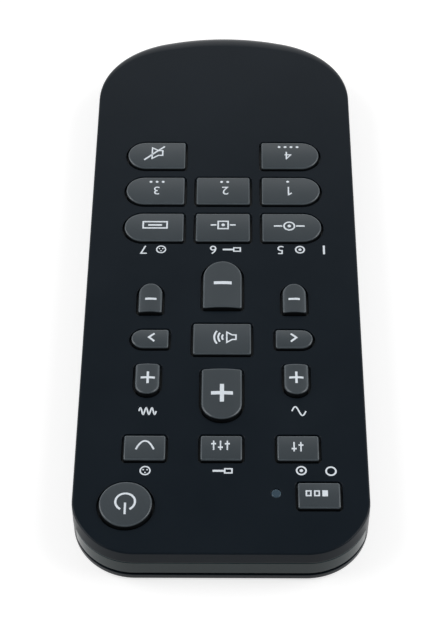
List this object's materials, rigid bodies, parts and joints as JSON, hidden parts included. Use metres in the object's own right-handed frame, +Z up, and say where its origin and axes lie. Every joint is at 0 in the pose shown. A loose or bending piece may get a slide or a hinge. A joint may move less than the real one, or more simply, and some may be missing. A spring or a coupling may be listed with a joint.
{
  "type": "audio remote control",
  "caption": "Slim handheld infrared remote with a long rounded case, push keys on its face, a wrap-round infrared window and a pull-out coin cell tray.",
  "frame": {"origin": "centre of the bottom face, on the surface the remote lies on", "axes": "+Z up out of the key face, +Y along the case to the infrared end, +X to the user's right"},
  "size_m": [0.0534, 0.1348, 0.0089],
  "materials": {
    "case": "dark blue-grey, fine satin texture",
    "window": "dark smoked infrared-passing plastic, polished",
    "indicator": "smoky blue-grey lens",
    "keys": "mid grey, satin, pale signs",
    "mat": "translucent grey silicone",
    "board": "green solder mask",
    "screws": "plain zinc",
    "chips": "black epoxy",
    "ceramic": "amber component body",
    "emitter": "dark violet resin",
    "lamp": "pale resin",
    "cell": "bright nickel-plated steel",
    "contacts": "nickel-plated spring steel"
  },
  "bodies": {
    "housing": {"case_top": "case", "case_bottom": "case", "ir_window": "window", "indicator_lens": "indicator", "keypad_mat": "mat", "circuit_board": "board", "board_screw_1": "screws", "board_screw_2": "screws", "board_screw_3": "screws", "board_screw_4": "screws", "board_screw_5": "screws", "board_screw_6": "screws", "controller_chip": "chips", "resonator": "ceramic", "capacitor": "ceramic", "driver_transistor": "chips", "ir_emitter": "emitter", "indicator_led": "lamp", "contact_plus": "contacts", "contact_minus": "contacts"},
    "key_4_body": {"key_4": "keys"},
    "key_mute_body": {"key_mute": "keys"},
    "key_1_body": {"key_1": "keys"},
    "key_2_body": {"key_2": "keys"},
    "key_3_body": {"key_3": "keys"},
    "key_5_body": {"key_5": "keys"},
    "key_6_body": {"key_6": "keys"},
    "key_7_body": {"key_7": "keys"},
    "key_bass_down_body": {"key_bass_down": "keys"},
    "key_bass_up_body": {"key_bass_up": "keys"},
    "key_treble_down_body": {"key_treble_down": "keys"},
    "key_treble_up_body": {"key_treble_up": "keys"},
    "key_volume_down_body": {"key_volume_down": "keys"},
    "key_volume_up_body": {"key_volume_up": "keys"},
    "key_volume_body": {"key_volume": "keys"},
    "key_left_body": {"key_left": "keys"},
    "key_right_body": {"key_right": "keys"},
    "key_tone_body": {"key_tone": "keys"},
    "key_equalizer_body": {"key_equalizer": "keys"},
    "key_loudness_body": {"key_loudness": "keys"},
    "key_select_body": {"key_select": "keys"},
    "key_power_body": {"key_power": "keys"},
    "tray": {"battery_tray": "case", "coin_cell": "cell"}
  },
  "joints": [
    {"name": "key_4_press", "type": "slide", "parent": "housing", "child": "key_4_body", "axis": [0, 0, -1], "range_m": [0, 0.0005], "stiffness_N_per_m": 1200, "springref_m": -0.0004, "deforming": ["keypad_mat"]},
    {"name": "key_mute_press", "type": "slide", "parent": "housing", "child": "key_mute_body", "axis": [0, 0, -1], "range_m": [0, 0.0005], "stiffness_N_per_m": 1200, "springref_m": -0.0004, "deforming": ["keypad_mat"]},
    {"name": "key_1_press", "type": "slide", "parent": "housing", "child": "key_1_body", "axis": [0, 0, -1], "range_m": [0, 0.0005], "stiffness_N_per_m": 1200, "springref_m": -0.0004, "deforming": ["keypad_mat"]},
    {"name": "key_2_press", "type": "slide", "parent": "housing", "child": "key_2_body", "axis": [0, 0, -1], "range_m": [0, 0.0005], "stiffness_N_per_m": 1200, "springref_m": -0.0004, "deforming": ["keypad_mat"]},
    {"name": "key_3_press", "type": "slide", "parent": "housing", "child": "key_3_body", "axis": [0, 0, -1], "range_m": [0, 0.0005], "stiffness_N_per_m": 1200, "springref_m": -0.0004, "deforming": ["keypad_mat"]},
    {"name": "key_5_press", "type": "slide", "parent": "housing", "child": "key_5_body", "axis": [0, 0, -1], "range_m": [0, 0.0005], "stiffness_N_per_m": 1200, "springref_m": -0.0004, "deforming": ["keypad_mat"]},
    {"name": "key_6_press", "type": "slide", "parent": "housing", "child": "key_6_body", "axis": [0, 0, -1], "range_m": [0, 0.0005], "stiffness_N_per_m": 1200, "springref_m": -0.0004, "deforming": ["keypad_mat"]},
    {"name": "key_7_press", "type": "slide", "parent": "housing", "child": "key_7_body", "axis": [0, 0, -1], "range_m": [0, 0.0005], "stiffness_N_per_m": 1200, "springref_m": -0.0004, "deforming": ["keypad_mat"]},
    {"name": "key_bass_down_press", "type": "slide", "parent": "housing", "child": "key_bass_down_body", "axis": [0, 0, -1], "range_m": [0, 0.0005], "stiffness_N_per_m": 1200, "springref_m": -0.0004, "deforming": ["keypad_mat"]},
    {"name": "key_bass_up_press", "type": "slide", "parent": "housing", "child": "key_bass_up_body", "axis": [0, 0, -1], "range_m": [0, 0.0005], "stiffness_N_per_m": 1200, "springref_m": -0.0004, "deforming": ["keypad_mat"]},
    {"name": "key_treble_down_press", "type": "slide", "parent": "housing", "child": "key_treble_down_body", "axis": [0, 0, -1], "range_m": [0, 0.0005], "stiffness_N_per_m": 1200, "springref_m": -0.0004, "deforming": ["keypad_mat"]},
    {"name": "key_treble_up_press", "type": "slide", "parent": "housing", "child": "key_treble_up_body", "axis": [0, 0, -1], "range_m": [0, 0.0005], "stiffness_N_per_m": 1200, "springref_m": -0.0004, "deforming": ["keypad_mat"]},
    {"name": "key_volume_down_press", "type": "slide", "parent": "housing", "child": "key_volume_down_body", "axis": [0, 0, -1], "range_m": [0, 0.0005], "stiffness_N_per_m": 1200, "springref_m": -0.0004, "deforming": ["keypad_mat"]},
    {"name": "key_volume_up_press", "type": "slide", "parent": "housing", "child": "key_volume_up_body", "axis": [0, 0, -1], "range_m": [0, 0.0005], "stiffness_N_per_m": 1200, "springref_m": -0.0004, "deforming": ["keypad_mat"]},
    {"name": "key_volume_press", "type": "slide", "parent": "housing", "child": "key_volume_body", "axis": [0, 0, -1], "range_m": [0, 0.0005], "stiffness_N_per_m": 1200, "springref_m": -0.0004, "deforming": ["keypad_mat"]},
    {"name": "key_left_press", "type": "slide", "parent": "housing", "child": "key_left_body", "axis": [0, 0, -1], "range_m": [0, 0.0005], "stiffness_N_per_m": 1200, "springref_m": -0.0004, "deforming": ["keypad_mat"]},
    {"name": "key_right_press", "type": "slide", "parent": "housing", "child": "key_right_body", "axis": [0, 0, -1], "range_m": [0, 0.0005], "stiffness_N_per_m": 1200, "springref_m": -0.0004, "deforming": ["keypad_mat"]},
    {"name": "key_tone_press", "type": "slide", "parent": "housing", "child": "key_tone_body", "axis": [0, 0, -1], "range_m": [0, 0.0005], "stiffness_N_per_m": 1200, "springref_m": -0.0004, "deforming": ["keypad_mat"]},
    {"name": "key_equalizer_press", "type": "slide", "parent": "housing", "child": "key_equalizer_body", "axis": [0, 0, -1], "range_m": [0, 0.0005], "stiffness_N_per_m": 1200, "springref_m": -0.0004, "deforming": ["keypad_mat"]},
    {"name": "key_loudness_press", "type": "slide", "parent": "housing", "child": "key_loudness_body", "axis": [0, 0, -1], "range_m": [0, 0.0005], "stiffness_N_per_m": 1200, "springref_m": -0.0004, "deforming": ["keypad_mat"]},
    {"name": "key_select_press", "type": "slide", "parent": "housing", "child": "key_select_body", "axis": [0, 0, -1], "range_m": [0, 0.0005], "stiffness_N_per_m": 1200, "springref_m": -0.0004, "deforming": ["keypad_mat"]},
    {"name": "key_power_press", "type": "slide", "parent": "housing", "child": "key_power_body", "axis": [0, 0, -1], "range_m": [0, 0.0005], "stiffness_N_per_m": 1200, "springref_m": -0.0004, "deforming": ["keypad_mat"]},
    {"name": "tray_slide", "type": "slide", "parent": "housing", "child": "tray", "axis": [0, -1, 0], "range_m": [0, 0.0224]}
  ]
}
